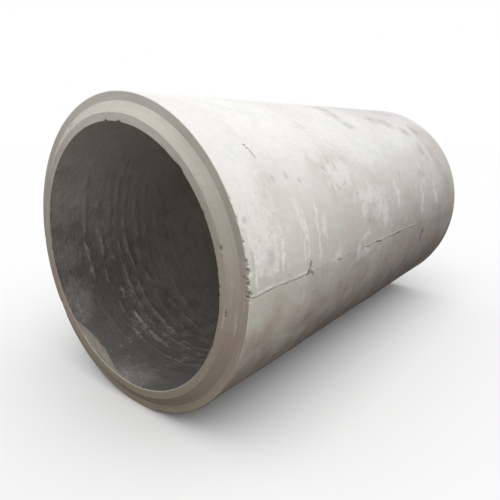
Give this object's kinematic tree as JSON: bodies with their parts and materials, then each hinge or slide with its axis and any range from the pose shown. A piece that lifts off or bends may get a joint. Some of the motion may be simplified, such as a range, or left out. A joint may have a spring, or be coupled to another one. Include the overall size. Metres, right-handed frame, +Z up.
{
  "type": "concrete sewer pipe",
  "caption": "Straight round concrete pipe lying on its side, open at both ends, with a short bevelled tongue at one end and a matching groove at the other, for laying in buried sewers.",
  "frame": {"origin": "on the ground under the middle of the pipe's overall length", "axes": "+X along the pipe from the tongue to the groove, +Z up, the pipe lying on its side"},
  "size_m": [2.527, 1.44, 1.44],
  "materials": {
    "concrete": "form-faced cast concrete, matt"
  },
  "bodies": {
    "root": {"pipe": "concrete"}
  },
  "joints": []
}
